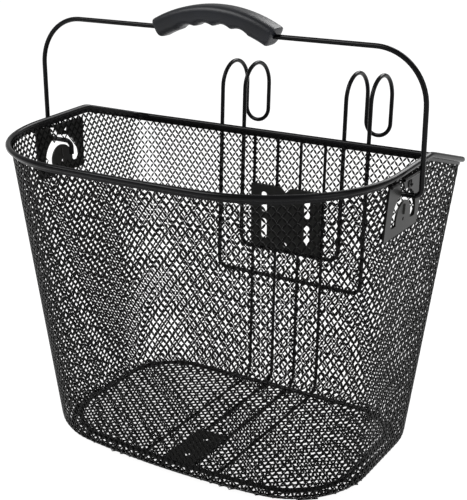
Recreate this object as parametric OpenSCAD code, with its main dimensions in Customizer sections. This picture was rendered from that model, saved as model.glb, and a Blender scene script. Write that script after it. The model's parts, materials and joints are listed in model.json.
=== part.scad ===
// Wire-mesh handlebar basket with a swinging carry handle.
// +X is the basket's right, -Y its curved front, +Y the handlebar side, +Z up.
// The origin is the bottom centre of the whole basket's box.

/* [Rim] */
// Width of the rim, centre to centre of its wire
rim_w = 350; // [300:1:430]
// Depth of the rim, centre to centre of its wire
rim_d = 267; // [225:1:330]
// Height of the rim wire's centre at the front, above the ground
rim_h = 277.5; // [220:0.5:340]
// How much lower the rim is along the rear than at the front
rear_drop = 20.5; // [0:0.5:35]
// Length of the stretch of each side where the rim comes down to the rear
drop_run = 88; // [60:1:95]
// How much higher the rim is where it starts to come down than at the front
side_rise = 4; // [0:0.5:6]
// Radius of the rim's front corners
rim_front_corner = 113; // [85:1:120]
// Radius of the rim's rear corners
rim_rear_corner = 16; // [12:1:34]
// Radius of the shallow bow across the rim's front
rim_front_bow = 1500; // [1000:50:3000]
// Diameter of the rim wire
rim_wire_d = 5; // [4:0.1:6.5]
// Height of the flat hem strip under the rim wire
hem_h = 2.5; // [2:0.5:9]
// Thickness of the hem strip
hem_t = 1; // [0.8:0.1:1.5]

/* [Mesh] */
// Thickness of the expanded-metal mesh
mesh_t = 1.2; // [0.9:0.1:2]
// Width of the floor, outside the mesh
floor_w = 312; // [270:1:330]
// Depth of the floor, outside the mesh
floor_d = 210; // [175:1:230]
// How far the floor's rear edge lies in front of the rim's rear wire
floor_set_in = 10; // [5:1:25]
// Radius of the floor's front corners, seen from above
floor_front_corner = 76; // [60:1:90]
// Radius of the floor's rear corners, seen from above
floor_rear_corner = 66; // [40:1:75]
// Radius of the shallow bow across the floor's front
floor_front_bow = 700; // [500:10:2000]
// Outside radius of the bend between the wall and the floor
floor_bend = 12; // [9:0.5:16]

/* [Wire frame] */
// Diameter of the ring that stiffens the floor
ring_wire_d = 4; // [3:0.1:5]
// Distance from the outside of the wall to the ring's centre
ring_inset = 17; // [15:0.5:20]
// Diameter of the support rods
rod_d = 3; // [2.5:0.1:4]
// Distance of the two inner rods from the middle
rod_inner_x = 12.5; // [10:0.5:16]
// Distance of the two outer rods from the middle
rod_outer_x = 38; // [33:0.5:44]

/* [Handlebar hooks] */
// Diameter of the hook wire
hook_wire_d = 4; // [3.2:0.1:5]
// Distance of the outer legs from the middle
hook_outer_x = 79; // [66:0.5:94]
// Distance of the inner legs from the middle
hook_inner_x = 54; // [48:0.5:58]
// Gap inside each hook, from front to back
hook_gap = 43; // [26:0.5:48]
// Height of the hooks' tops above the ground
hook_top_z = 319; // [290:1:370]
// Height of the hooks' back loops above the ground
hook_tip_z = 253; // [248:1:285]
// Height of the outer loop's bottom wire
outer_loop_z = 112; // [60:1:124]
// Height of the inner loop's bottom wire
inner_loop_z = 140; // [134:1:148]
// Bend radius at the outer loop's lower corners
outer_loop_bend = 9; // [6:0.5:14]
// Bend radius at the inner loop's lower corners
inner_loop_bend = 11; // [6:0.5:14]

/* [Adapter plate] */
// Width of the plate
plate_w = 76; // [68:1:84]
// Height of the plate
plate_h = 62; // [56:1:70]
// Height of the plate's lower edge above the ground
plate_z = 145; // [135:1:160]
// Thickness of both plates
plate_t = 1.5; // [1:0.1:2.5]
// Distance between the two columns of slots
slot_span_x = 47; // [38:0.5:52]
// Distance between the two slots of a column, centre to centre
slot_span_z = 27; // [24:0.5:30]
// Length of each slot, end to end
slot_len = 20.5; // [14:0.5:22]
// Width of each slot
slot_w = 6.5; // [5.5:0.1:8.5]
// Height of the slot pattern's middle above the plate's lower edge
slot_mid = 31.5; // [29:0.25:34]
// Diameter of the small hole near the lower edge
pilot_d = 4.5; // [3:0.1:5.5]
// Height of the small hole above the lower edge
pilot_up = 4.5; // [4:0.1:7]
// Depth and half width of the notch in the upper edge
notch = 5; // [2:0.5:8]

/* [Floor plate] */
// Width of the floor plate
fplate_w = 29; // [28:0.5:40]
// Length of the floor plate
fplate_len = 58; // [50:1:70]
// Distance between its two holes
fplate_span = 31; // [24:0.5:36]
// Diameter of its holes
fplate_hole = 7; // [5:0.1:8.5]

/* [Handle brackets] */
// Length of each bracket along the rim
bracket_len = 69; // [64:1:80]
// Height of each bracket
bracket_h = 45; // [43:1:50]
// Thickness of the bracket
bracket_t = 1.5; // [1:0.1:2.5]
// How far the brackets' middle lies in front of the rear wire
bracket_y = 131; // [124:1:138]
// Outer radius of the curved slot
slot_out_r = 23.5; // [22:0.5:25]
// Radius of the tongue that the slot runs round
tongue_r = 14; // [12:0.5:15]
// How far the slot reaches below the tongue's centre
slot_foot = 4; // [3:0.5:7]

/* [Handle] */
// Diameter of the handle wire
bail_d = 4.2; // [3.5:0.1:5]
// Clear gap between the handle's legs and the rim wire
bail_gap = 6; // [3:0.1:8]
// Height of the handle's cross wire above the ground
bail_top_z = 371; // [345:1:420]
// Bend radius at the handle's upper corners
bail_corner = 43; // [25:1:60]
// Bend radius at the handle's lower ends
bail_end_bend = 6; // [4:0.5:8]
// Length of the end that hooks down inside the basket
bail_tail = 6; // [4:0.5:9]
// Length of the grip along its curve
grip_len = 112; // [95:1:125]
// Rise of the grip's curve between its ends
grip_rise = 13.5; // [9:0.5:16]
// Thickness of the grip
grip_h = 17; // [14:0.5:20]
// Width of the grip
grip_w = 22; // [18:0.5:26]
// Edge radius of the grip
grip_edge = 5; // [3:0.5:6]
// Number of finger grooves
groove_n = 4; // [3:1:5]
// Pitch of the finger grooves
groove_pitch = 19; // [17:0.5:21]
// Depth of the finger grooves
groove_depth = 2.2; // [1:0.1:3]

/* [Hidden] */
$fn = 48;

black_coat = "#1b1b1c";
grip_black = "#25272c";
weld = 0.2;            // how deep welded wires bite into each other
rise_run = 100;        // length of the stretch where the rim rises
kink_soft = 3;         // softness of the rim's bend where it starts to come down
tube_sides = 10;

// Sizes that follow from the ones above
rim_r = rim_wire_d / 2;
rod_r = rod_d / 2;
hook_r = hook_wire_d / 2;
ring_r = ring_wire_d / 2;
bail_r = bail_d / 2;
floor_z = rod_d - weld / 2;            // underside of the floor mesh, which sits on the rods
rear_rim_z = snap(rim_h - drop_at(0)); // rim wire's centre along the rear
wall_top = rim_r - weld;               // the mesh ends this far below the rim wire's centre
wall_foot_z = floor_z + floor_bend;
// Rear wall: outside of the mesh at its foot and at its top
rear_foot_y = -floor_set_in;
rear_top_y = -rim_r;
rear_top_z = rear_rim_z - wall_top;
function rear_y(z) = rear_foot_y + (rear_top_y - rear_foot_y) * (z - wall_foot_z) / (rear_top_z - wall_foot_z);
rear_lean = atan2(rear_top_y - rear_foot_y, rear_top_z - wall_foot_z);
// Side walls: outside of the mesh
side_top_x = rim_w / 2 - rim_r;
side_top_z = rim_h - drop_at(-bracket_y) - wall_top;
function side_x(z) = floor_w / 2 + (side_top_x - floor_w / 2) * (z - wall_foot_z) / (side_top_z - wall_foot_z);
side_lean = atan2(side_top_x - floor_w / 2, side_top_z - wall_foot_z);
// Brackets: their middle is the tongue's centre
bracket_top_z = rim_h - rim_r - 2;
bracket_low = slot_foot + 8;           // the plate's lower edge, below the tongue's centre
tongue_z = snap(bracket_top_z - (bracket_h - bracket_low) * cos(side_lean));
pivot_z = snap(tongue_z + (slot_out_r + tongue_r) / 2 * cos(side_lean));
bail_x = rim_w / 2 + rim_r + bail_gap + bail_r;
// Rods: their centres, off the rear wall and under the floor
rod_out = rod_r - weld / 2;
rod_z = floor_z - rod_out;
rod_top_z = rear_rim_z - rim_r - hem_h + weld;
plate_back_y = snap(rear_y(plate_z) - mesh_t);
// Hooks: a frame that lies against the rim wire at the top and against the rods at the foot
hook_foot_y = snap(rear_y(outer_loop_z) + rod_out + rod_r + hook_r - weld);
hook_rim_y = rim_r + hook_r - weld;
hook_lean = atan2(hook_rim_y - hook_foot_y, rear_rim_z - outer_loop_z);
hook_arch_r = (hook_gap + hook_wire_d) / 2;
hook_tip_r = (hook_outer_x - hook_inner_x) / 2;
// Heights along the leaning frame, from the outer loop's bottom
hook_arch_up = snap((hook_top_z - outer_loop_z - hook_r - hook_arch_r * (1 - sin(hook_lean))) / cos(hook_lean));
hook_tip_up = snap((hook_tip_z - outer_loop_z + hook_r + hook_tip_r + 2 * hook_arch_r * sin(hook_lean))
    / cos(hook_lean));
inner_loop_up = snap((inner_loop_z - outer_loop_z) / cos(hook_lean));
hook_back_y = hook_foot_y + hook_arch_r * (1 + cos(hook_lean)) + hook_arch_up * sin(hook_lean) + hook_r;
// The whole basket's middle, from the front of the rim to the back of the hooks
mid_y = snap((hook_back_y - rim_d - rim_r) / 2);
// Grip: an arc through the ends of the cross wire
grip_chord = grip_len - 4;
grip_arc_r = (pow(grip_chord / 2, 2) + pow(grip_rise, 2)) / (2 * grip_rise);
grip_half_angle = asin(grip_chord / 2 / grip_arc_r);
bail_crown_z = snap(bail_top_z + grip_rise * 0.75);
grip_centre_z = bail_top_z + grip_rise - grip_arc_r;
groove_r = (pow(groove_pitch / 2, 2) + pow(groove_depth, 2)) / (2 * groove_depth);

// Fall of the rim at a point this far in front of the rear wire (y is negative)
function drop_at(y) = (rear_drop + rise_at(0)) / drop_run * soft_ramp(y + drop_run, kink_soft) - rise_at(y);
function rise_at(y) = side_rise / rise_run * soft_ramp(y + drop_run + rise_run, 30);
function soft_ramp(t, s) = (t + sqrt(t * t + s * s)) / 2;

// Pieces of one wire meet exactly when their places are whole hundredths
function snap(v) = round(v * 100) / 100;
function unit(v) = v / norm(v);
function blend(a, b, t) = a + (b - a) * t;
function arc(c, r, a0, a1, n) = [for (i = [0:n]) let (a = blend(a0, a1, i / n)) c + r * [cos(a), sin(a)]];

// Right half of a D-shaped outline from the middle of the rear edge round to the middle of
// the front. It is rear_y0 behind, w wide and d deep; e insets all of it.
function half_d(w, d, rear_y0, rear_r, front_r, bow, run, e = 0) =
    let (
        rr = rear_r - e,
        fr = front_r - e,
        br = bow - e,
        hx = w / 2 - e,
        y0 = rear_y0 - e,
        bow_y = rear_y0 - d + bow,
        side_end = bow_y - sqrt(pow(br - fr, 2) - pow(hx - fr, 2)),
        a1 = atan2(side_end - bow_y, hx - fr),
        mid = rear_y0 - run
    ) concat(
        [for (i = [0:4]) [(hx - rr) * i / 5, y0]],
        arc([hx - rr, y0 - rr], rr, 90, 0, 7),
        [for (i = [1:6]) [hx, blend(y0 - rr, mid, i / 6)]],
        [for (i = [1:4]) [hx, blend(mid, side_end, i / 5)]],
        arc([hx - fr, side_end], fr, 0, a1, 12),
        [for (i = [1:5]) let (a = blend(a1, -90, i / 5)) [0, bow_y] + br * [cos(a), sin(a)]]
    );
// The other half is its mirror image, without the two points on the middle line
function whole_d(half) = concat(half, [for (i = [len(half) - 2:-1:1]) [-half[i].x, half[i].y]]);

function rim_d_outline(e = 0) = whole_d(half_d(rim_w, rim_d, 0, rim_rear_corner,
    rim_front_corner, rim_front_bow, drop_run, e));
function floor_d_outline(e = 0) = whole_d(half_d(floor_w, floor_d, -floor_set_in, floor_rear_corner,
    floor_front_corner, floor_front_bow, max(drop_run * floor_d / rim_d, floor_rear_corner + 10), e));

// The rim's course at a distance e inside its wire's centre and dz below it
function rim_course(e, dz) = let (out = rim_d_outline(0), pts = rim_d_outline(e))
    [for (i = [0:len(pts) - 1]) [pts[i].x, pts[i].y, rim_h - drop_at(out[i].y) - dz]];
function level(pts, z) = [for (p = pts) [p.x, p.y, z]];
function wall_ring(e, t) = let (a = level(floor_d_outline(e), wall_foot_z), b = rim_course(rim_r + e, wall_top))
    [for (i = [0:len(a) - 1]) blend(a[i], b[i], t)];

// A closed solid from rings of points: each ring is joined to the next and the last to the first
module ring_stack(rings) {
    m = len(rings);
    n = len(rings[0]);
    pts = [for (r = rings) for (p = r) p];
    faces = [for (k = [0:m - 1]) for (i = [0:n - 1]) let (j = (i + 1) % n, l = (k + 1) % m)
        for (f = [[k * n + i, l * n + i, l * n + j], [k * n + i, l * n + j, k * n + j]]) f];
    polyhedron(points = pts, faces = faces, convexity = 10);
}

// A round wire along a closed, nearly level course
module closed_wire(course, r, sides = tube_sides) {
    m = len(course);
    rings = [for (j = [0:sides - 1]) [for (i = [0:m - 1]) let (
        t = unit(course[(i + 1) % m] - course[(i - 1 + m) % m]),
        s = unit(cross(t, [0, 0, 1])),
        u = cross(s, t),
        a = 360 * j / sides
    ) course[i] + r * (cos(a) * s - sin(a) * u)]];
    ring_stack(rings);
}

// A knee where two lengths of wire meet at an angle
module knee(r) sphere(r = r + 0.03);

module placed() translate([0, -mid_y, 0]) children();

// A straight round wire from a to b
module wire(a, b, r) {
    d = b - a;
    translate(a)
        rotate([0, acos(d.z / norm(d)), atan2(d.y, d.x)])
            cylinder(h = norm(d), r = r);
}

// A quarter, half or other part of a turn of wire, in the XY plane round the origin
module bend(turn_r, r, angle) rotate_extrude(angle = angle) translate([turn_r, 0]) circle(r = r);

module rim_wire() color(black_coat) placed() closed_wire(rim_course(0, 0), rim_r);

// Flat strip that hems the mesh's upper edge, on the outside of the mesh
module hem_strip() color(black_coat) placed() difference() {
    low = rim_r + hem_h;
    ring_stack([rim_course(rim_r - hem_t, rim_r * 0.55), rim_course(rim_r, rim_r * 0.55),
        hem_ring(0, low), hem_ring(-hem_t, low)]);
    // cut back round the brackets, which lie flat on the mesh
    for (side = [0, 1]) mirror([side, 0, 0]) on_side_wall()
        translate([-bracket_len / 2 - 0.3, 0, -3]) cube([bracket_len + 0.6, bracket_h - bracket_low + 0.3, 9]);
}
// A ring on the wall's outer face, e inside it and dz below the rim wire's centre
function hem_ring(e, dz) = let (a = wall_ring(e, 0), b = rim_course(rim_r + e, 0))
    [for (i = [0:len(a) - 1]) blend(b[i], a[i], dz / (b[i].z - a[i].z))];

// Wall of the basket: one skin from the floor's edge, round the bend and up to the rim
module wall_mesh() color(black_coat) placed() difference() {
    ring_stack(concat(
        [for (a = [0:22.5:90]) level(floor_d_outline(floor_bend * (1 - sin(a))), floor_z + floor_bend * (1 - cos(a)))],
        [for (t = [0.25:0.25:1]) wall_ring(0, t)],
        [for (t = [1:-0.25:0]) wall_ring(mesh_t, t)],
        [for (a = [67.5:-22.5:0]) level(
            floor_d_outline(floor_bend - (floor_bend - mesh_t) * sin(a)),
            floor_z + floor_bend - (floor_bend - mesh_t) * cos(a))]
    ));
    // the mesh is cut away behind the brackets' curved slots and the adapter plate's holes
    for (side = [0, 1]) mirror([side, 0, 0])
        on_side_wall() translate([0, 0, -5]) linear_extrude(10) bracket_slot(0.6);
    on_plate() translate([0, 0, -10]) linear_extrude(20) plate_holes(0.8);
}

module floor_mesh() color(black_coat) placed()
    translate([0, 0, floor_z]) linear_extrude(mesh_t) difference() {
        polygon(floor_d_outline(floor_bend));
        translate([0, floor_plate_y]) floor_plate_holes(0.8);
    }

module floor_ring() color(black_coat) placed()
    closed_wire(level(floor_d_outline(ring_inset), floor_z + mesh_t + ring_r - weld), ring_r, 8);

// L-shaped rod: down the outside of the rear wall and forward under the floor
module support_rod(x) color(black_coat) placed() translate([x, 0, 0]) {
    turn_r = floor_bend + rod_out;
    foot = [0, rear_foot_y + rod_out, wall_foot_z];
    wire(foot, [0, rear_y(rod_top_z) + rod_out, rod_top_z], rod_r);
    translate(foot) knee(rod_r);
    translate(foot - [0, turn_r, 0]) rotate([0, 90, 0]) bend(turn_r, rod_r, 90);
    translate(foot - [0, turn_r, turn_r]) rotate([90, 0, 0])
        cylinder(h = floor_d - floor_bend - ring_inset, r = rod_r);
}
module support_rod_1() support_rod(-rod_outer_x);
module support_rod_2() support_rod(-rod_inner_x);
module support_rod_3() support_rod(rod_inner_x);
module support_rod_4() support_rod(rod_outer_x);

// Puts children, drawn in XY with Y up the wall and Z outwards, on the rear wall at height z
module on_rear_wall(z) translate([0, rear_y(z), z]) rotate([-rear_lean, 0, 0]) rotate([90, 0, 180]) children();
// The same on the right side wall, with the origin at the tongue's centre and X to the rear
module on_side_wall() translate([side_x(tongue_z), -bracket_y, tongue_z])
    rotate([0, side_lean, 0]) rotate([90, 0, 90]) children();

// One closed wire: two loops down the rear wall that rise into two hooks
module hook_frame() color(black_coat) placed()
    translate([0, hook_foot_y, outer_loop_z]) rotate([-hook_lean, 0, 0]) {
        loop(hook_outer_x, 0, outer_loop_bend);
        loop(hook_inner_x, inner_loop_up, inner_loop_bend);
        for (side = [-1, 1]) {
            for (x = [hook_outer_x, hook_inner_x]) translate([side * x, 0, 0]) {
                translate([0, hook_arch_r, hook_arch_up]) rotate([90, 0, 90]) bend(hook_arch_r, hook_r, 180);
                translate([0, 2 * hook_arch_r, hook_tip_up])
                    cylinder(h = hook_arch_up - hook_tip_up, r = hook_r);
            }
            translate([side * (hook_outer_x + hook_inner_x) / 2, 2 * hook_arch_r, hook_tip_up])
                rotate([-90, 0, 0]) bend(hook_tip_r, hook_r, 180);
        }
    }
// A U of wire with legs at x and -x, from its bottom at z0 up to the hooks' arches
module loop(x, z0, turn_r) {
    translate([-x + turn_r, 0, z0]) rotate([0, 90, 0]) cylinder(h = 2 * (x - turn_r), r = hook_r);
    for (side = [0, 1]) mirror([side, 0, 0]) {
        translate([x - turn_r, 0, z0 + turn_r]) rotate([90, 0, 0]) rotate([0, 0, -90]) bend(turn_r, hook_r, 90);
        translate([x, 0, z0 + turn_r]) cylinder(h = hook_arch_up - z0 - turn_r, r = hook_r);
    }
}

// Slotted plate inside the rear wall. It stands upright with its lower edge against the mesh;
// folded side and top edges reach back to the leaning mesh.
module adapter_plate() color(black_coat) placed() {
    on_plate() linear_extrude(plate_t) difference() {
        plate_outline();
        plate_holes(0);
    }
    difference() {
        on_plate() translate([0, 0, -12]) linear_extrude(12 + plate_t) difference() {
            plate_outline();
            translate([-plate_w / 2 + plate_t, -1]) square([plate_w - 2 * plate_t, plate_h - plate_t + 1]);
            translate([-notch - 1, plate_h / 2]) square([2 * notch + 2, plate_h]);
        }
        on_rear_wall(plate_z) translate([-plate_w, -10, 0.1 - mesh_t]) cube([2 * plate_w, plate_h + 30, 40]);
    }
}
// Puts children on the upright plate: X across, Y up from its lower edge, Z into the basket
module on_plate() translate([0, plate_back_y, plate_z]) rotate([90, 0, 0]) children();
module plate_outline() polygon([[-plate_w / 2, 0], [plate_w / 2, 0], [plate_w / 2, plate_h], [notch, plate_h],
    [0, plate_h - notch], [-notch, plate_h], [-plate_w / 2, plate_h]]);
// The plate's holes, each widened all round by e
module plate_holes(e) {
    for (x = [-1, 1], z = [-1, 1]) translate([x * slot_span_x / 2, slot_mid + z * slot_span_z / 2])
        upright_slot(slot_len + 2 * e, slot_w + 2 * e);
    translate([0, pilot_up]) circle(d = pilot_d + 2 * e);
}
module upright_slot(len, w) {
    for (s = [-1, 1]) translate([0, s * (len - w) / 2]) circle(d = w);
    translate([-w / 2, -(len - w) / 2]) square([w, len - w]);
}

// Two-hole plate on the floor, over the two inner rods
module floor_plate() color(black_coat) placed()
    translate([0, floor_plate_y, floor_z + mesh_t]) linear_extrude(plate_t) difference() {
        translate([-fplate_w / 2, -fplate_len / 2]) square([fplate_w, fplate_len]);
        floor_plate_holes(0);
    }
module floor_plate_holes(e) for (s = [-1, 1]) translate([0, s * fplate_span / 2]) circle(d = fplate_hole + 2 * e);
floor_plate_y = -floor_set_in - floor_d + ring_inset + ring_r + 3 + fplate_len / 2;

// Plate with a slot that runs over a tongue, welded to the outside of the side wall
module bracket() color(black_coat) placed() on_side_wall() {
    high = bracket_h - bracket_low;
    translate([0, 0, -weld]) linear_extrude(bracket_t + weld) difference() {
        polygon([[-bracket_len / 2, -bracket_low], [bracket_len / 2 - 5, -bracket_low],
            [bracket_len / 2, high], [-bracket_len / 2 + 2, high]]);
        bracket_slot(0);
        polygon([[-8, slot_out_r - 3], [-1, slot_out_r - 1], [-9, high + 1], [-17, high + 1]]);
        translate([8, high - 6]) circle(d = 5);
        translate([0, 1 - slot_foot / 2]) circle(d = 3);
    }
    // folded upper edge, open at the notch
    translate([-bracket_len / 2 + 2, high - bracket_t, 0]) cube([bracket_len / 2 - 19, bracket_t, 3.2]);
    translate([-8, high - bracket_t, 0]) cube([bracket_len / 2 + 8, bracket_t, 3.2]);
}
// The curved slot round the tongue, widened all round by e
module bracket_slot(e) difference() {
    slot_window(slot_out_r + e);
    slot_window(tongue_r - e);
}
// Round-topped window of radius r that ends slot_foot below its centre
module slot_window(r) intersection() {
    circle(r = r);
    translate([-r, -slot_foot]) square([2 * r, r + slot_foot]);
}
module bracket_right() bracket();
module bracket_left() mirror([1, 0, 0]) bracket();

// Handle wire, upright: legs outside the rim, ends that pass through the brackets and hook down
module handle_bail() color(black_coat) placed() translate([0, -bracket_y, 0]) {
    end_x = snap(side_x(pivot_z) - mesh_t - 3 - bail_r);
    for (side = [0, 1]) mirror([side, 0, 0]) {
        translate([bail_x, 0, pivot_z + bail_end_bend])
            cylinder(h = bail_top_z - bail_corner - pivot_z - bail_end_bend, r = bail_r);
        translate([bail_x - bail_corner, 0, bail_top_z - bail_corner])
            rotate([90, 0, 0]) bend(bail_corner, bail_r, 90);
        translate([bail_x - bail_end_bend, 0, pivot_z + bail_end_bend])
            rotate([90, 0, 0]) rotate([0, 0, -90]) bend(bail_end_bend, bail_r, 90);
        translate([end_x, 0, pivot_z]) rotate([0, 90, 0])
            cylinder(h = bail_x - bail_end_bend - end_x, r = bail_r);
        translate([end_x, 0, pivot_z - bail_end_bend])
            rotate([90, 0, 0]) rotate([0, 0, 90]) bend(bail_end_bend, bail_r, 90);
        translate([end_x - bail_end_bend, 0, pivot_z - bail_end_bend - bail_tail])
            cylinder(h = bail_tail, r = bail_r);
        translate([grip_chord / 2, 0, bail_top_z]) rotate([0, 90, 0])
            cylinder(h = bail_x - bail_corner - grip_chord / 2, r = bail_r);
        // inside the grip the wire follows the grip's curve in two straight lengths
        translate([grip_chord / 2, 0, bail_top_z]) knee(bail_r);
        wire([grip_chord / 2, 0, bail_top_z], [grip_chord / 5, 0, bail_crown_z], bail_r);
        translate([grip_chord / 5, 0, bail_crown_z]) knee(bail_r);
    }
    translate([-grip_chord / 5, 0, bail_crown_z]) rotate([0, 90, 0]) cylinder(h = grip_chord * 0.4, r = bail_r);
}
// Sweeps a section, drawn with X away from the arc's centre, along the grip's arc
module grip_arc(half_angle) translate([0, 0, grip_centre_z]) rotate([90, 0, 0])
    rotate([0, 0, 90 - half_angle]) rotate_extrude(angle = 2 * half_angle) translate([grip_arc_r, 0]) children();

// Moulded on to the wire, so the bore is the wire's own shape
module handle_grip() color(grip_black) placed() translate([0, -bracket_y, 0]) difference() {
    grip_arc(grip_half_angle) grip_section();
    for (side = [0, 1]) mirror([side, 0, 0]) {
        wire([grip_chord / 2 + 12, 0, bail_top_z], [grip_chord / 2 - 1, 0, bail_top_z], bail_r);
        translate([grip_chord / 2, 0, bail_top_z]) knee(bail_r);
        wire([grip_chord / 2, 0, bail_top_z], [grip_chord / 5, 0, bail_crown_z], bail_r);
        translate([grip_chord / 5, 0, bail_crown_z]) knee(bail_r);
    }
    translate([-grip_chord / 5, 0, bail_crown_z]) rotate([0, 90, 0]) cylinder(h = grip_chord * 0.4, r = bail_r);
    for (k = [0:groove_n - 1]) let (
        along = (k - (groove_n - 1) / 2) * groove_pitch,
        a = 90 - along / grip_arc_r * 180 / PI,
        reach = grip_arc_r - grip_h / 2 + groove_depth - groove_r
    ) translate([reach * cos(a), 0, grip_centre_z + reach * sin(a)]) rotate([90, 0, 0])
        cylinder(h = grip_w + 2, r = groove_r, center = true);
}
module grip_section() {
    for (x = [-1, 1], y = [-1, 1]) translate([x * (grip_h / 2 - grip_edge), y * (grip_w / 2 - grip_edge)])
        circle(r = grip_edge);
    square([grip_h, grip_w - 2 * grip_edge], center = true);
    square([grip_h - 2 * grip_edge, grip_w], center = true);
}

rim_wire();
hem_strip();
wall_mesh();
floor_mesh();
floor_ring();
support_rod_1();
support_rod_2();
support_rod_3();
support_rod_4();
hook_frame();
adapter_plate();
floor_plate();
bracket_left();
bracket_right();
handle_bail();
handle_grip();
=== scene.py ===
import bpy
import json
import math
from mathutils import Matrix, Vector

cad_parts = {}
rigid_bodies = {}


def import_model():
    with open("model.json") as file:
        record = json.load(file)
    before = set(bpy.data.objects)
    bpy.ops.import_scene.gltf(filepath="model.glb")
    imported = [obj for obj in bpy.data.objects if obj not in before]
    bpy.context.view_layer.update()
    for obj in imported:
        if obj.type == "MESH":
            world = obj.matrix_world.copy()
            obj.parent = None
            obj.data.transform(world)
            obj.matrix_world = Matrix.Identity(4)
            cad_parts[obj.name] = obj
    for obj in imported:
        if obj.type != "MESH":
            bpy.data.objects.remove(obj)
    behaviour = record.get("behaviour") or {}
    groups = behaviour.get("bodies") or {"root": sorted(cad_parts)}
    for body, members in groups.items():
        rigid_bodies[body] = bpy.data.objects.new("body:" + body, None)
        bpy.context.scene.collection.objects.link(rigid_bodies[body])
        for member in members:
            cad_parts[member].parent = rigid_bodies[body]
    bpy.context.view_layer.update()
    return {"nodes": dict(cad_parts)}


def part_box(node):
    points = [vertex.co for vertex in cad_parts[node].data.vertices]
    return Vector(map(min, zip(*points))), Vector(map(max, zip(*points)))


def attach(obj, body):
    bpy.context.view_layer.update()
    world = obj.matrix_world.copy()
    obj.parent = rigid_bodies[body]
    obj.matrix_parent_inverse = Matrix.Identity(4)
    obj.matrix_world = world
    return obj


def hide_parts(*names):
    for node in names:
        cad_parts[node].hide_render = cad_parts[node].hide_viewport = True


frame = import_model()
bpy.ops.object.select_all(action="DESELECT")
scene = bpy.context.scene

# Sizes are in millimetres. x is across the basket, y is 0 at the rim's rear wire and negative
# towards the front, and z is the height above the ground.
RIM_WIRE = 5.0
rim_low, rim_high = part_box("rim_wire")
floor_low, floor_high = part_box("floor_mesh")
REAR_Y = rim_high[1] * 1000 - RIM_WIRE / 2          # the rear wire's place in the frame
RIM_W = (rim_high[0] - rim_low[0]) * 1000 - RIM_WIRE
RIM_D = (rim_high[1] - rim_low[1]) * 1000 - RIM_WIRE
RIM_FRONT_Z = 277.5                                  # height of the rim wire's centre at the front
FLOOR_Z = floor_low[2] * 1000
REAR_DROP, DROP_RUN, KINK_SOFT = 20.5, 88.0, 3.0
SIDE_RISE, RISE_RUN, RISE_SOFT = 4.0, 100.0, 30.0    # the sides of the rim climb a little to the rear
SHEET = 1.2                                          # the CAD skin that the mesh sits in
FLOOR_W, FLOOR_D, FLOOR_SET_IN, FLOOR_BEND = 312.0, 210.0, 10.0, 12.0
REAR_CORNER, FRONT_CORNER, FRONT_BOW = 16.0, 113.0, 1500.0          # radii of the rim
FLOOR_REAR_CORNER, FLOOR_FRONT_CORNER, FLOOR_BOW = 66.0, 76.0, 700.0
HEM_H, HEM_T = 2.5, 1.0


def place(p):
    """A point in millimetres from the rear wire, as metres in the frame."""
    return Vector((p[0], p[1] + REAR_Y, p[2])) / 1000


def blend(a, b, t):
    return a + (b - a) * t


# ---------------------------------------------------------------- the basket's shape

def soft_ramp(t, softness):
    return (t + math.sqrt(t * t + softness ** 2)) / 2


def rise_at(y):
    return SIDE_RISE / RISE_RUN * soft_ramp(y + DROP_RUN + RISE_RUN, RISE_SOFT)


def rim_z(y):
    """Height of the rim wire's centre at this y."""
    fall = (REAR_DROP + rise_at(0)) / DROP_RUN * soft_ramp(y + DROP_RUN, KINK_SOFT)
    return RIM_FRONT_Z + rise_at(y) - fall


def d_outline(width, depth, rear, rear_r, front_r, bow, run, inset, fine):
    """A D-shaped outline seen from above, from the middle of the rear round to the left.

    Each stretch has the same number of points on every outline, so that two outlines match point by point.
    """
    rr, fr, br, hx, y0 = rear_r - inset, front_r - inset, bow - inset, width / 2 - inset, rear - inset
    bow_y = rear - depth + bow
    side_end = bow_y - math.sqrt((br - fr) ** 2 - (hx - fr) ** 2)
    end_angle = math.atan2(side_end - bow_y, hx - fr)
    mid = rear - run

    def arc(cx, cy, r, a0, a1, n, first):
        angles = [blend(a0, a1, i / n) for i in range(first, n + 1)]
        return [(cx + r * math.cos(a), cy + r * math.sin(a)) for a in angles]

    half = [((hx - rr) * i / (5 * fine), y0) for i in range(5 * fine)]
    half += arc(hx - rr, y0 - rr, rr, math.pi / 2, 0, 7 * fine, 0)
    half += [(hx, blend(y0 - rr, mid, i / (6 * fine))) for i in range(1, 6 * fine + 1)]
    half += [(hx, blend(mid, side_end, i / (5 * fine))) for i in range(1, 5 * fine)]
    half += arc(hx - fr, side_end, fr, 0, end_angle, 12 * fine, 0)
    half += arc(0, bow_y, br, end_angle, -math.pi / 2, 5 * fine, 1)
    return half + [(-x, y) for x, y in half[-2:0:-1]]


FINE = 4
FOOT_RUN = max(DROP_RUN * FLOOR_D / RIM_D, FLOOR_REAR_CORNER + 10)


def rim_line_at(inset):
    return d_outline(RIM_W, RIM_D, 0, REAR_CORNER, FRONT_CORNER, FRONT_BOW, DROP_RUN, inset, FINE)


def floor_line(inset):
    return d_outline(FLOOR_W, FLOOR_D, -FLOOR_SET_IN, FLOOR_REAR_CORNER, FLOOR_FRONT_CORNER, FLOOR_BOW,
                     FOOT_RUN, inset, FINE)


RIM_LINE, TOP_LINE = rim_line_at(0), rim_line_at(RIM_WIRE / 2)
FOOT_LINE = floor_line(0)
WALL_TOP = 2.3                                       # the skin ends this far below the rim wire's centre
MESH_TOP = 1.9                                       # and the expanded mesh this far
FOOT_Z = FLOOR_Z + FLOOR_BEND


def at(line, s):
    """The point at a share s of the way round a line, from 0 to 1."""
    k = (s % 1.0) * len(line)
    i = int(k) % len(line)
    a, b = line[i], line[(i + 1) % len(line)]
    return tuple(blend(p, q, k - int(k)) for p, q in zip(a, b))


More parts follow.
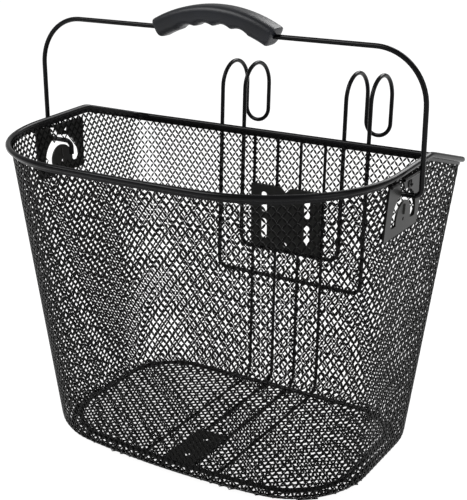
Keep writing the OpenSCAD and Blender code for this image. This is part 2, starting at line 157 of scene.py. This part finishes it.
BEND_RUN, BEND_PARTS = FLOOR_BEND * math.pi / 2, 8
BEND_LINES = [floor_line(FLOOR_BEND * (1 - math.sin(math.pi / 2 * k / BEND_PARTS)))
              for k in range(BEND_PARTS + 1)]


def wall_row(v):
    """The wall's skin v up from the floor, as a closed line. It stops just under the rim wire."""
    if v < BEND_RUN:
        a = v / BEND_RUN
        k = min(int(a * BEND_PARTS), BEND_PARTS - 1)
        t = a * BEND_PARTS - k
        z = FLOOR_Z + FLOOR_BEND * (1 - math.cos(a * math.pi / 2))
        return [(blend(p[0], q[0], t), blend(p[1], q[1], t), z)
                for p, q in zip(BEND_LINES[k], BEND_LINES[k + 1])]
    line = []
    for foot, top, rim in zip(FOOT_LINE, TOP_LINE, RIM_LINE):
        z = min(FOOT_Z + v - BEND_RUN, rim_z(rim[1]) - MESH_TOP)
        t = (z - FOOT_Z) / (rim_z(rim[1]) - WALL_TOP - FOOT_Z)
        line.append((blend(foot[0], top[0], t), blend(foot[1], top[1], t), z))
    return line


def even_points(line, count):
    """Points that stand evenly apart along a closed line, the first at its start."""
    steps = [math.dist(line[i], line[(i + 1) % len(line)]) for i in range(len(line))]
    total, points, done, i = sum(steps), [], 0.0, 0
    for k in range(count):
        want = total * k / count
        while done + steps[i] < want:
            done += steps[i]
            i += 1
        t = (want - done) / steps[i]
        points.append(tuple(blend(p, q, t) for p, q in zip(line[i], line[(i + 1) % len(line)])))
    return points


def rear_wall_y(z):
    """The outside of the rear wall's skin at a height."""
    top_z = rim_z(0) - WALL_TOP
    return blend(-FLOOR_SET_IN, -RIM_WIRE / 2, (z - FOOT_Z) / (top_z - FOOT_Z))


# ---------------------------------------------------------------- materials

def linear(hex_code):
    """An sRGB hex colour as linear RGBA."""
    parts = [int(hex_code[i:i + 2], 16) / 255 for i in (1, 3, 5)]
    return tuple(c / 12.92 if c <= 0.04045 else ((c + 0.055) / 1.055) ** 2.4 for c in parts) + (1.0,)


def add_node(material, kind, settings=None, links=None):
    """Adds one node, sets its sockets or properties by name, and links outputs of others into it."""
    node = material.node_tree.nodes.new(kind)
    for key, value in (settings or {}).items():
        if key in node.inputs:
            node.inputs[key].default_value = value
        else:
            setattr(node, key, value)
    for key, output in (links or {}).items():
        material.node_tree.links.new(output, node.inputs[key])
    return node


def new_finish(name):
    material = bpy.data.materials.new(name)
    material.use_nodes = True
    shader = material.node_tree.nodes["Principled BSDF"]
    place_node = add_node(material, "ShaderNodeTexCoord")
    return material, shader, place_node.outputs["Object"]


def powder_coat(name, dark, light, roughness, bump, shine):
    """Black polyester powder coat, sprayed and baked on steel: a soft sheen over fine orange peel."""
    material, shader, where = new_finish(name)
    # slow changes of tone where the coat is thicker or has been handled, about 40 mm across
    tone = add_node(material, "ShaderNodeTexNoise", {"Scale": 25.0, "Detail": 3.0}, {"Vector": where})
    ramp = add_node(material, "ShaderNodeValToRGB", None, {"Fac": tone.outputs["Fac"]})
    ramp.color_ramp.elements[0].position, ramp.color_ramp.elements[0].color = 0.35, linear(dark)
    ramp.color_ramp.elements[1].position, ramp.color_ramp.elements[1].color = 0.70, linear(light)
    material.node_tree.links.new(ramp.outputs["Color"], shader.inputs["Base Color"])
    # orange peel is about 1 mm from crest to crest
    peel = add_node(material, "ShaderNodeTexNoise", {"Scale": 900.0, "Detail": 2.0}, {"Vector": where})
    dents = add_node(material, "ShaderNodeBump", {"Strength": bump, "Distance": 0.0002},
                     {"Height": peel.outputs["Fac"]})
    material.node_tree.links.new(dents.outputs["Normal"], shader.inputs["Normal"])
    rough = add_node(material, "ShaderNodeMapRange", {"To Min": roughness - 0.06, "To Max": roughness + 0.08},
                     {"Value": tone.outputs["Fac"]})
    material.node_tree.links.new(rough.outputs["Result"], shader.inputs["Roughness"])
    shader.inputs["IOR"].default_value = 1.5
    shader.inputs["Specular IOR Level"].default_value = shine
    return material


wire_coat = powder_coat("powder coat on wire", "#040405", "#0a0a0c", 0.20, 0.2, 0.14)
mesh_coat = powder_coat("powder coat on expanded mesh", "#030303", "#080808", 0.36, 0.2, 0.06)
plate_coat = powder_coat("powder coat on stamped plate", "#0a0a09", "#151512", 0.34, 0.3, 0.2)


def moulded_grip():
    """Injection-moulded black PVC: satin, with a fine spark-eroded grain."""
    material, shader, where = new_finish("moulded PVC grip")
    tone = add_node(material, "ShaderNodeTexNoise", {"Scale": 40.0, "Detail": 4.0}, {"Vector": where})
    ramp = add_node(material, "ShaderNodeValToRGB", None, {"Fac": tone.outputs["Fac"]})
    ramp.color_ramp.elements[0].position, ramp.color_ramp.elements[0].color = 0.3, linear("#101216")
    ramp.color_ramp.elements[1].position, ramp.color_ramp.elements[1].color = 0.75, linear("#191b22")
    material.node_tree.links.new(ramp.outputs["Color"], shader.inputs["Base Color"])
    # the grain is about 0.5 mm, drawn a little coarser so that it shows
    grain = add_node(material, "ShaderNodeTexNoise", {"Scale": 1400.0, "Detail": 3.0}, {"Vector": where})
    dents = add_node(material, "ShaderNodeBump", {"Strength": 0.35, "Distance": 0.0002},
                     {"Height": grain.outputs["Fac"]})
    material.node_tree.links.new(dents.outputs["Normal"], shader.inputs["Normal"])
    shader.inputs["Roughness"].default_value = 0.38
    shader.inputs["IOR"].default_value = 1.53
    shader.inputs["Specular IOR Level"].default_value = 0.3
    return material


grip_pvc = moulded_grip()


# ---------------------------------------------------------------- making pieces

def only(obj):
    bpy.ops.object.select_all(action="DESELECT")
    obj.select_set(True)
    bpy.context.view_layer.objects.active = obj


def dress(obj, material, body, slot, *nodes):
    """Gives a finished piece its material and its body, and hides the CAD nodes that it stands for."""
    obj.data.materials.clear()
    obj.data.materials.append(material)
    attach(obj, body)
    if nodes:
        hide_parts(*nodes)
    return obj


def mirrored(half):
    """Adds the left half to the corners of a right half, so that the line runs from right to left."""
    return half + [((-p[0], p[1], p[2]), r) for p, r in reversed(half)]


def wire(name, points, diameter, closed=False, sides=4):
    """A round wire along a line of points, as a closed mesh."""
    curve = bpy.data.curves.new(name, "CURVE")
    curve.dimensions = "3D"
    curve.bevel_depth = diameter / 2000
    curve.bevel_resolution = sides
    curve.use_fill_caps = not closed
    spline = curve.splines.new("POLY")
    spline.points.add(len(points) - 1)
    for point, p in zip(spline.points, points):
        point.co = (*place(p), 1)
    spline.use_cyclic_u = closed
    obj = bpy.data.objects.new(name, curve)
    scene.collection.objects.link(obj)
    only(obj)
    bpy.ops.object.convert(target="MESH")
    obj = bpy.context.object
    bpy.ops.object.mode_set(mode="EDIT")
    bpy.ops.mesh.select_all(action="SELECT")
    bpy.ops.mesh.remove_doubles(threshold=0.00001)
    bpy.ops.mesh.normals_make_consistent(inside=False)
    bpy.ops.object.mode_set(mode="OBJECT")
    bpy.ops.object.shade_smooth_by_angle(angle=math.radians(50))
    return obj


def rounded(corners, closed=False, step=9):
    """Turns (point, radius) corners into a line whose corners are arcs, a point every few degrees."""
    line, n = [], len(corners)
    for i, (p, r) in enumerate(corners):
        p = Vector(p)
        if r == 0 or (not closed and i in (0, n - 1)):
            line.append(p)
            continue
        a = (Vector(corners[i - 1][0]) - p).normalized()
        b = (Vector(corners[(i + 1) % n][0]) - p).normalized()
        half = a.angle(b) / 2
        centre = p + (a + b).normalized() * r / math.sin(half)
        start, end = p + a * r / math.tan(half), p + b * r / math.tan(half)
        turn = math.pi - 2 * half
        parts = max(2, round(math.degrees(turn) / step))
        u, w = (start - centre) / r, (end - centre) / r
        side = (w - u * u.dot(w)).normalized()
        for k in range(parts + 1):
            angle = turn * k / parts
            line.append(centre + (u * math.cos(angle) + side * math.sin(angle)) * r)
    return line


# ---------------------------------------------------------------- the expanded mesh

CELL_W, CELL_H = 7.5, 9.5          # a diamond from corner to corner, near the rim
STRAND = 1.6                       # width of a strand
CORNER_CUT = 1.3                   # how far a diamond's corners are cut back
MESH_T = 0.9                       # thickness of the expanded sheet


def diamonds(name, columns, rows, put, keep, closed):
    """A sheet of expanded mesh: diamonds on a grid, each put in place, opened up and thickened."""
    bpy.ops.object.select_all(action="DESELECT")
    bpy.ops.mesh.primitive_grid_add(x_subdivisions=columns, y_subdivisions=rows, size=2)
    sheet = bpy.context.object
    sheet.name = sheet.data.name = name
    corners = len(sheet.data.vertices)
    bpy.ops.object.mode_set(mode="EDIT")
    bpy.ops.mesh.select_all(action="SELECT")
    bpy.ops.mesh.poke()
    bpy.ops.object.mode_set(mode="OBJECT")
    data = sheet.data
    centre_mark = data.attributes.new("centre", "BOOLEAN", "POINT")
    centre_mark.data.foreach_set("value", [i >= corners for i in range(len(data.vertices))])
    for vertex in data.vertices:
        across, up = (vertex.co.x + 1) / 2, (vertex.co.y + 1) / 2
        vertex.co = place(put(across, up))
    data.update()
    bpy.ops.object.mode_set(mode="EDIT")
    if closed:
        bpy.ops.mesh.select_all(action="SELECT")
        bpy.ops.mesh.remove_doubles(threshold=0.0001)
    # the grid's own edges go, which leaves the diamonds between them
    bpy.ops.mesh.select_all(action="DESELECT")
    bpy.ops.mesh.select_mode(type="EDGE")
    bpy.ops.object.mode_set(mode="OBJECT")
    marks = [False] * len(data.vertices)
    data.attributes["centre"].data.foreach_get("value", marks)
    for edge in data.edges:
        a, b = edge.vertices
        edge.select = not marks[a] and not marks[b]
    bpy.ops.object.mode_set(mode="EDIT")
    bpy.ops.mesh.dissolve_edges(use_verts=False, use_face_split=False)
    bpy.ops.mesh.select_mode(type="FACE")
    bpy.ops.mesh.select_all(action="DESELECT")
    bpy.ops.object.mode_set(mode="OBJECT")
    for face in data.polygons:
        middle = face.center * 1000
        face.select = not keep(middle.x, middle.y - REAR_Y, middle.z)
    bpy.ops.object.mode_set(mode="EDIT")
    bpy.ops.mesh.delete(type="FACE")
    bpy.ops.mesh.select_all(action="SELECT")
    bpy.ops.mesh.normals_make_consistent(inside=False)
    bpy.ops.mesh.inset(thickness=STRAND / 2000, use_individual=True, use_even_offset=True)
    bpy.ops.mesh.bevel(offset=CORNER_CUT / 1000, affect="VERTICES", segments=1)
    bpy.ops.mesh.delete(type="ONLY_FACE")
    bpy.ops.object.mode_set(mode="OBJECT")
    data.attributes.remove(data.attributes["centre"])
    thick = sheet.modifiers.new("thickness", "SOLIDIFY")
    thick.thickness, thick.offset = MESH_T / 1000, 0
    only(sheet)
    bpy.ops.object.modifier_apply(modifier=thick.name)
    return sheet


columns = round(sum(math.dist(a, b) for a, b in zip(TOP_LINE, TOP_LINE[1:])) / CELL_W)
wall_rise = BEND_RUN + rim_z(-DROP_RUN) - FOOT_Z + CELL_H
rows = math.ceil(wall_rise / CELL_H)
wall_grid = [even_points(wall_row(k * CELL_H / 2), columns * 2) for k in range(rows * 2 + 1)]

bracket_low, bracket_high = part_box("bracket_right")
TONGUE_Y = (bracket_low[1] + bracket_high[1]) * 500 - REAR_Y
TONGUE_Z = 240.06                  # height of the tongue's centre on both brackets
plate_low, plate_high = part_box("adapter_plate")
TOP_MARGIN = 1.3                   # a diamond whose middle is nearer the sheet's top than this is left out
BRACKET_X, BRACKET_Z = 140.0, 225.0                  # beyond both there is a bracket
TONGUE_OPENING_R, TONGUE_OPENING_FOOT = 22.5, 6.0    # the sheet's opening round a tongue
PLATE_HALF_W, PLATE_NEAR_Y = 34.0, -30.0             # the sheet's opening behind the adapter plate
PLATE_LOW_EDGE, PLATE_HIGH_EDGE = 3.0, 4.0           # sheet left behind the plate's lower and upper edges


def on_wall(across, up):
    return wall_grid[round(up * rows * 2)][round(across * columns * 2) % (columns * 2)]


def keep_wall(x, y, z):
    """Below the rim, and clear of the openings behind the brackets and the adapter plate."""
    if z > rim_z(y) - MESH_TOP - TOP_MARGIN:
        return False
    if abs(x) > BRACKET_X and z > BRACKET_Z:
        r = math.hypot(y - TONGUE_Y, z - TONGUE_Z)
        if r < TONGUE_OPENING_R and z > TONGUE_Z - TONGUE_OPENING_FOOT:
            return False
    opening_low, opening_high = plate_low[2] * 1000 + PLATE_LOW_EDGE, plate_high[2] * 1000 - PLATE_HIGH_EDGE
    return not (y > PLATE_NEAR_Y and abs(x) < PLATE_HALF_W and opening_low < z < opening_high)


wall = diamonds("wall_mesh_sheet", columns, rows, on_wall, keep_wall, True)

# four lengths of sheet, so that each stays light; the strands' ends along the cuts are left open
MID_Y = REAR_Y / 1000 - RIM_D / 2000


def split_off(sheet, name, beyond):
    """Parts the faces for which beyond is true from a sheet, as a piece of their own."""
    before = set(scene.objects)
    only(sheet)
    bpy.ops.object.mode_set(mode="EDIT")
    bpy.ops.mesh.select_all(action="DESELECT")
    bpy.ops.object.mode_set(mode="OBJECT")
    for face in sheet.data.polygons:
        face.select = beyond(face.center)
    bpy.ops.object.mode_set(mode="EDIT")
    bpy.ops.mesh.separate(type="SELECTED")
    bpy.ops.object.mode_set(mode="OBJECT")
    part = (set(scene.objects) - before).pop()
    part.name = part.data.name = name
    return part


right = split_off(wall, "wall_mesh_front_right", lambda c: c.x > 0)
rear_parts = [split_off(wall, "wall_mesh_rear_left", lambda c: c.y > MID_Y),
              split_off(right, "wall_mesh_rear_right", lambda c: c.y > MID_Y)]
wall.name = wall.data.name = "wall_mesh_front_left"
dress(wall, mesh_coat, "basket", "black_coat", "wall_mesh")
for part in [right] + rear_parts:
    dress(part, mesh_coat, "basket", "black_coat")

floor_columns = math.ceil(FLOOR_W / CELL_H)
floor_rows = math.ceil(FLOOR_D / CELL_W)
FLOOR_EDGE = floor_line(8.5)       # the flat sheet reaches this far into the wall's bend


def on_floor(across, up):
    return (blend(-FLOOR_W / 2, FLOOR_W / 2, across), -FLOOR_SET_IN - up * FLOOR_D, FLOOR_Z + SHEET / 2)


def inside(line, x, y):
    hit = False
    for (x0, y0), (x1, y1) in zip(line, line[1:] + line[:1]):
        if (y0 > y) != (y1 > y) and x < x0 + (y - y0) / (y1 - y0) * (x1 - x0):
            hit = not hit
    return hit


floor_sheet = diamonds("floor_mesh_sheet", floor_columns, floor_rows, on_floor,
                       lambda x, y, z: inside(FLOOR_EDGE, x, y), False)
dress(floor_sheet, mesh_coat, "basket", "black_coat", "floor_mesh")


# ---------------------------------------------------------------- wires, strip and frame

rim_line = [(x, y, rim_z(y)) for x, y in RIM_LINE]
rim = wire("rim_wire_bent", rim_line, RIM_WIRE, closed=True, sides=6)
dress(rim, wire_coat, "basket", "black_coat", "rim_wire")

RING_WIRE, RING_INSET, RING_LIFT = 4.0, 17.0, 1.8
ring_line = [(x, y, FLOOR_Z + SHEET + RING_LIFT) for x, y in floor_line(RING_INSET)]
ring = wire("floor_ring_bent", ring_line, RING_WIRE, closed=True)
dress(ring, wire_coat, "basket", "black_coat", "floor_ring")

ROD, ROD_OUT, ROD_BEND, WELD = 3.0, 1.4, 13.4, 0.2   # a rod's top bites into the hem strip by WELD
ROD_PLACES = (-38, -12.5, 12.5, 38)
rod_z = FLOOR_Z - ROD_OUT
rod_top = rim_z(0) - RIM_WIRE / 2 - HEM_H + WELD
rod_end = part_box("support_rod_1")[0][1] * 1000 - REAR_Y
for number, x in enumerate(ROD_PLACES, 1):
    rod = wire(f"support_rod_bent_{number}", rounded([
        ((x, rear_wall_y(rod_top) + ROD_OUT, rod_top), 0),
        ((x, rear_wall_y(rod_z) + ROD_OUT, rod_z), ROD_BEND),
        ((x, rod_end, rod_z), 0)]), ROD)
    dress(rod, wire_coat, "basket", "black_coat", f"support_rod_{number}")

HOOK_FOOT_Y, HOOK_LEAN, HOOK_R, HOOK_TIP_R = -2.26, math.radians(2.59055), 23.5, 12.5
ARCH_UP, TIP_UP, INNER_UP = 182.75 + HOOK_R, 157.79 - HOOK_TIP_R, 28.03
OUTER_X, INNER_X, LOOP_Z = 79.0, 54.0, 112.0
HOOK_WIRE, OUTER_BEND, INNER_BEND = 4.0, 9, 11


def lean(x, y, z):
    """From the hook frame's own plane to its place against the rim."""
    return (x, HOOK_FOOT_Y + y * math.cos(HOOK_LEAN) + z * math.sin(HOOK_LEAN),
            LOOP_Z - y * math.sin(HOOK_LEAN) + z * math.cos(HOOK_LEAN))


half_frame = [
    ((OUTER_X, 0, 0), OUTER_BEND), ((OUTER_X, 0, ARCH_UP), HOOK_R), ((OUTER_X, 2 * HOOK_R, ARCH_UP), HOOK_R),
    ((OUTER_X, 2 * HOOK_R, TIP_UP), HOOK_TIP_R), ((INNER_X, 2 * HOOK_R, TIP_UP), HOOK_TIP_R),
    ((INNER_X, 2 * HOOK_R, ARCH_UP), HOOK_R), ((INNER_X, 0, ARCH_UP), HOOK_R),
    ((INNER_X, 0, INNER_UP), INNER_BEND)]
hook_line = rounded([(lean(*p), r) for p, r in mirrored(half_frame)], closed=True)
hooks = wire("hook_frame_bent", hook_line, HOOK_WIRE, closed=True)
dress(hooks, wire_coat, "basket", "black_coat", "hook_frame")

# hem strip: a flat band round the outside of the mesh, just under the rim wire
HEM_TOP, HEM_ROUND = 1.4, 0.3      # its upper edge below the rim wire's centre, and how round its edges are
bpy.ops.mesh.primitive_grid_add(x_subdivisions=len(RIM_LINE), y_subdivisions=1, size=2)
hem = bpy.context.object
hem.name = hem.data.name = "hem_strip_rolled"
for vertex in hem.data.vertices:
    i = round((vertex.co.x + 1) / 2 * len(RIM_LINE)) % len(RIM_LINE)
    s, y = i / len(RIM_LINE), RIM_LINE[i][1]
    foot, top = at(FOOT_LINE, s), at(TOP_LINE, s)
    top_z = rim_z(y) - WALL_TOP
    z = rim_z(y) - (HEM_TOP if vertex.co.y > 0 else RIM_WIRE / 2 + HEM_H)
    t = (z - FOOT_Z) / (top_z - FOOT_Z)
    vertex.co = place((blend(foot[0], top[0], t), blend(foot[1], top[1], t), z))
only(hem)
bpy.ops.object.mode_set(mode="EDIT")
bpy.ops.mesh.select_all(action="SELECT")
bpy.ops.mesh.remove_doubles(threshold=0.0001)
bpy.ops.mesh.normals_make_consistent(inside=False)
bpy.ops.object.mode_set(mode="OBJECT")
band = hem.modifiers.new("thickness", "SOLIDIFY")
band.thickness, band.offset = HEM_T / 1000, 1
bpy.ops.object.modifier_apply(modifier=band.name)
soft = hem.modifiers.new("rolled edge", "BEVEL")
soft.width, soft.segments = HEM_ROUND / 1000, 2
soft.limit_method, soft.angle_limit = "ANGLE", math.radians(50)
bpy.ops.object.modifier_apply(modifier=soft.name)
bpy.ops.object.shade_smooth_by_angle(angle=math.radians(40))
dress(hem, wire_coat, "basket", "black_coat", "hem_strip")


# ---------------------------------------------------------------- the handle

BAIL_Y = -131.0
PIVOT_Z, BAIL_X, BAIL_TOP, TAIL_X, TAIL_Z = 258.77, 185.6, 371.0, 159.02, 246.77
BAIL_WIRE, END_BEND, TOP_CORNER, CROWN_BEND = 4.2, 6, 43, 8
GRIP_RISE, GRIP_CHORD, CROWN_Z = 13.5, 108.0, 381.13
half_bail = [((TAIL_X, BAIL_Y, TAIL_Z), 0), ((TAIL_X, BAIL_Y, PIVOT_Z), END_BEND),
             ((BAIL_X, BAIL_Y, PIVOT_Z), END_BEND), ((BAIL_X, BAIL_Y, BAIL_TOP), TOP_CORNER),
             ((GRIP_CHORD / 2, BAIL_Y, BAIL_TOP), CROWN_BEND), ((GRIP_CHORD / 5, BAIL_Y, CROWN_Z), CROWN_BEND)]
bail = wire("handle_bail_bent", rounded(mirrored(half_bail), step=6), BAIL_WIRE, sides=6)
dress(bail, wire_coat, "handle", "black_coat", "handle_bail")

GRIP_R = ((GRIP_CHORD / 2) ** 2 + GRIP_RISE ** 2) / (2 * GRIP_RISE)
GRIP_HALF = math.asin(GRIP_CHORD / 2 / GRIP_R)
GRIP_W, GRIP_H = 22.0, 17.0
GROOVES, GROOVE_PITCH, GROOVE_DEPTH = 4, 19.0, 2.2
GROOVE_FADE = 6.0                  # the grooves reach their depth this far below the grip's middle
SQUARENESS = 3.6                   # 2 would make the section an ellipse
BODY_SHARE = 0.94                  # the rest of the grip's length is its two ends
EDGE_SHARE = 0.35                  # the part of an end that is its rounded edge; the rest is its flat face
END_TAPER, END_PUSH = 0.10, 0.9    # how much narrower an end is, and how far its face stands out


def grip_section(angle):
    """The rounded rectangle of the grip's section, as (across, up) at an angle."""
    c, s = math.cos(angle), math.sin(angle)
    spread = abs(c / (GRIP_W / 2)) ** SQUARENESS + abs(s / (GRIP_H / 2)) ** SQUARENESS
    r = spread ** (-1 / SQUARENESS)
    return r * c, r * s


bpy.ops.mesh.primitive_grid_add(x_subdivisions=56, y_subdivisions=110, size=2)
grip = bpy.context.object
grip.name = grip.data.name = "handle_grip_moulded"
for vertex in grip.data.vertices:
    angle = (vertex.co.x + 1) * math.pi
    along = vertex.co.y                                  # -1 to 1 along the grip
    side = 1 if along > 0 else -1
    edge = max(0.0, (abs(along) - BODY_SHARE) / (1 - BODY_SHARE))
    rounding = min(edge / EDGE_SHARE, 1.0)
    swing = min(abs(along) / BODY_SHARE, 1.0) * GRIP_HALF * side
    across, up = grip_section(angle)
    shrink = 1.0
    if edge > EDGE_SHARE:
        shrink = max(0.0, 1 - (edge - EDGE_SHARE) / (1 - EDGE_SHARE))
    end_round = 1 - END_TAPER * rounding
    if edge == 0:
        run = swing * GRIP_R
        nearest = min((run - (k - (GROOVES - 1) / 2) * GROOVE_PITCH for k in range(GROOVES)), key=abs)
        if abs(nearest) < GROOVE_PITCH / 2 and up < 0:
            up += GROOVE_DEPTH * math.cos(nearest / GROOVE_PITCH * math.pi) * min(1.0, -up / GROOVE_FADE)
    across, up = across * shrink * end_round, up * shrink * end_round
    reach = GRIP_R + up
    x = reach * math.sin(swing) + END_PUSH * rounding * side
    z = BAIL_TOP + GRIP_RISE - GRIP_R + reach * math.cos(swing)
    vertex.co = place((x, BAIL_Y + across, z))
only(grip)
bpy.ops.object.mode_set(mode="EDIT")
bpy.ops.mesh.select_all(action="SELECT")
bpy.ops.mesh.remove_doubles(threshold=0.00005)
bpy.ops.mesh.normals_make_consistent(inside=False)
bpy.ops.object.mode_set(mode="OBJECT")
bpy.ops.object.shade_smooth_by_angle(angle=math.radians(45))
dress(grip, grip_pvc, "handle", "grip_plastic", "handle_grip")

for name in ("adapter_plate", "floor_plate", "bracket_left", "bracket_right"):
    node = frame["nodes"][name]
    node.data.materials.clear()
    node.data.materials.append(plate_coat)


# ---------------------------------------------------------------- pressed detail and welds

RIB_D, RIB_OUT, RIB_UPS = 3.2, 1.1, (3, 5, 8, 11)
LUG_D, LUG_OUT, LUG_R, LUG_ALONG, LUG_UP = 2.2, 1.3, 4.2, 8, 27
LIP_D, LIP_OUT, LIP_UP, LIP_RUNS = 2.6, 2.4, 32.2, ((-32, -17.5), (-8, 34))
SIDE_LEAN = math.atan2(RIM_W / 2 - RIM_WIRE / 2 - FLOOR_W / 2, rim_z(BAIL_Y) - WALL_TOP - FOOT_Z)


def on_bracket(side, along, up, out):
    """A point on a bracket: along to the rear and up from the tongue's centre, out from the mesh."""
    z = TONGUE_Z + up * math.cos(SIDE_LEAN) - out * math.sin(SIDE_LEAN)
    wall_x = FLOOR_W / 2 + (TONGUE_Z - FOOT_Z) * math.tan(SIDE_LEAN)
    return (side * (wall_x + up * math.sin(SIDE_LEAN) + out * math.cos(SIDE_LEAN)), BAIL_Y + along, z)


for side, name in ((-1, "left"), (1, "right")):
    # the tongue has a pressed rib down its middle, and a C-shaped lug is pressed out round the round hole
    rib = wire(f"bracket_{name}_rib", [on_bracket(side, 0, up, RIB_OUT) for up in RIB_UPS], RIB_D)
    dress(rib, plate_coat, "basket", "black_coat")
    turn = [math.radians(a) for a in range(60, 331, 18)]
    lug_line = [on_bracket(side, LUG_ALONG + LUG_R * math.cos(a), LUG_UP + LUG_R * math.sin(a), LUG_OUT)
                for a in turn]
    lug = wire(f"bracket_{name}_lug", lug_line, LUG_D)
    dress(lug, plate_coat, "basket", "black_coat")
    # the folded upper edge is round, not square
    for number, run in enumerate(LIP_RUNS, 1):
        lip = wire(f"bracket_{name}_lip_{number}", [on_bracket(side, along, LIP_UP, LIP_OUT) for along in run],
                   LIP_D)
        dress(lip, plate_coat, "basket", "black_coat")

# a bead of weld at each crossing of the hook frame with the rim wire and the rods
BEAD_R, BEAD_OUT, BEAD_STRETCH = 1.9, 3.2, (1.25, 0.8, 1.1)
rim_cross_y = HOOK_FOOT_Y + (rim_z(0) - LOOP_Z) * math.tan(HOOK_LEAN)
crossings = [(x, rim_cross_y / 2, rim_z(0)) for x in (-OUTER_X, -INNER_X, INNER_X, OUTER_X)]
for z in (LOOP_Z, LOOP_Z + INNER_UP):
    crossings += [(x, rear_wall_y(z) + BEAD_OUT, z) for x in ROD_PLACES]
for number, spot in enumerate(crossings, 1):
    bpy.ops.object.select_all(action="DESELECT")
    bpy.ops.mesh.primitive_ico_sphere_add(subdivisions=2, radius=BEAD_R / 1000)
    bead = bpy.context.object
    bead.name = bead.data.name = f"weld_bead_{number}"
    for vertex in bead.data.vertices:
        vertex.co = place(spot) + vertex.co * Vector(BEAD_STRETCH)
    bpy.ops.object.shade_smooth()
    dress(bead, wire_coat, "basket", "black_coat")


# ---------------------------------------------------------------- floor, light and camera

bpy.ops.mesh.primitive_plane_add(size=12, location=(0, 0, 0))
ground = bpy.context.object
ground.name = "studio_floor"
# opal acrylic lit from below: even and almost white, so that it takes hardly any shadow
white_floor, floor_shader, where = new_finish("white studio floor, lit from below")
floor_shader.inputs["Base Color"].default_value = linear("#6c6c6c")
floor_shader.inputs["Roughness"].default_value = 0.9
floor_shader.inputs["Emission Color"].default_value = linear("#ffffff")
floor_shader.inputs["Emission Strength"].default_value = 0.95
ground.data.materials.append(white_floor)


LAMP_AIM = Vector((0, 0, 0.2))


def softbox(name, where, size, power):
    light = bpy.data.lights.new(name, "AREA")
    light.shape, light.size, light.size_y, light.energy = "RECTANGLE", size[0], size[1], power
    lamp = bpy.data.objects.new(name, light)
    scene.collection.objects.link(lamp)
    lamp.location = where
    lamp.rotation_euler = (LAMP_AIM - Vector(where)).to_track_quat("-Z", "Y").to_euler()


softbox("key softbox", (-1.0, -1.2, 1.9), (1.2, 1.2), 30)
softbox("right softbox", (1.9, -0.5, 0.9), (0.9, 1.4), 7)
softbox("rear softbox", (0.3, 1.8, 1.6), (1.6, 1.0), 30)

world = bpy.data.worlds.new("studio")
world.use_nodes = True
world.node_tree.nodes["Background"].inputs["Color"].default_value = (1, 1, 1, 1)
world.node_tree.nodes["Background"].inputs["Strength"].default_value = 0.4
scene.world = world
scene.view_settings.view_transform = "Standard"

CAMERA_AZ, CAMERA_EL = math.radians(31.38), math.radians(19.44)
SENSOR, REACH = 36.0, 1102.2 / 500     # REACH is the focal length over the picture's longer side
camera_data = bpy.data.cameras.new("camera")
camera_data.sensor_width = SENSOR
camera_data.lens = REACH * SENSOR
camera = bpy.data.objects.new("camera", camera_data)
scene.collection.objects.link(camera)
camera.location = place((485.8, -900.5, 502.5))
look = Vector((-math.sin(CAMERA_AZ) * math.cos(CAMERA_EL), math.cos(CAMERA_AZ) * math.cos(CAMERA_EL),
               -math.sin(CAMERA_EL)))
camera.rotation_euler = look.to_track_quat("-Z", "Y").to_euler()
scene.camera = camera
